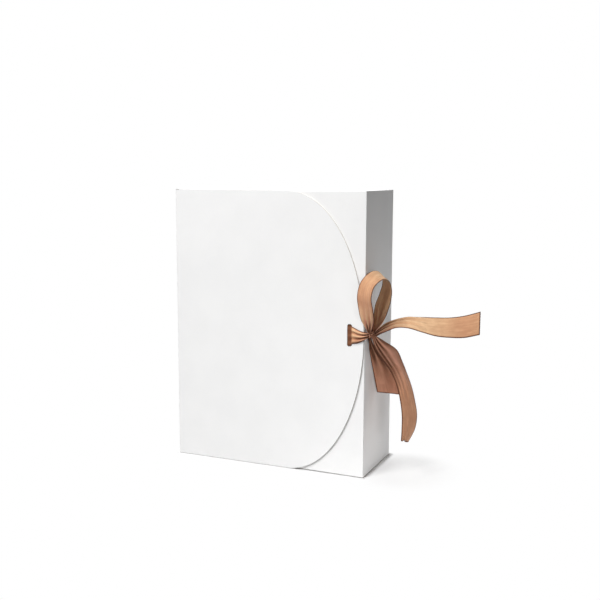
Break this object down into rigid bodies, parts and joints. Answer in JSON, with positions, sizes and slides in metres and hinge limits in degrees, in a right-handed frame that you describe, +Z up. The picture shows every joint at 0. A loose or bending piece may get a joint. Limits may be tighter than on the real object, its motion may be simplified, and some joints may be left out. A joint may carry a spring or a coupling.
{
  "type": "gift box",
  "caption": "Upright rigid gift box of wrapped board that opens like a book, with a round-ended outer flap over a straight inner flap and a tied ribbon bow.",
  "frame": {"origin": "the middle of the base of the box, on the surface that it stands on; the middle is taken between the side walls and between the closed inner flap's face and the back", "axes": "+Z up, +Y from the flaps to the back panel, +X from the spine wall with the outer flap's crease to the side wall with the bow"},
  "size_m": [0.3373, 0.1149, 0.305],
  "materials": {
    "greyboard": "bare greyboard",
    "wrap_paper": "smooth white matt paper",
    "lining_paper": "uncoated white paper",
    "ribbon": "caramel woven ribbon, low sheen"
  },
  "bodies": {
    "box": {"back_panel": "greyboard", "spine_wall": "greyboard", "side_wall": "greyboard", "bottom_wall": "greyboard", "top_wall": "greyboard", "case_wrap": "wrap_paper", "bottom_wrap": "wrap_paper", "top_wrap": "wrap_paper", "case_lining": "lining_paper", "bottom_lining": "lining_paper", "top_lining": "lining_paper", "side_ribbon_anchor": "ribbon", "side_ribbon": "ribbon"},
    "outer_flap": {"outer_flap_board": "greyboard", "outer_flap_wrap": "wrap_paper", "outer_flap_lining": "lining_paper", "flap_ribbon_anchor": "ribbon", "flap_ribbon_lead": "ribbon", "ribbon_knot": "ribbon", "ribbon_loop": "ribbon", "ribbon_long_tail": "ribbon", "ribbon_hanging_tail": "ribbon"},
    "inner_flap": {"inner_flap_board": "greyboard", "inner_flap_wrap": "wrap_paper", "inner_flap_lining": "lining_paper"}
  },
  "joints": [
    {"name": "outer_flap_crease", "type": "hinge", "parent": "box", "child": "outer_flap", "pos_m": [-0.1125, -0.0469, 0.1525], "axis": [0, 0, -1], "range_deg": [0, 180]},
    {"name": "inner_flap_crease", "type": "hinge", "parent": "box", "child": "inner_flap", "pos_m": [0.1125, -0.045, 0.1525], "axis": [0, 0, 1], "range_deg": [0, 180]}
  ],
  "couplings": [
    {"joint": "inner_flap_crease", "follows": "outer_flap_crease", "ratio": 1}
  ]
}
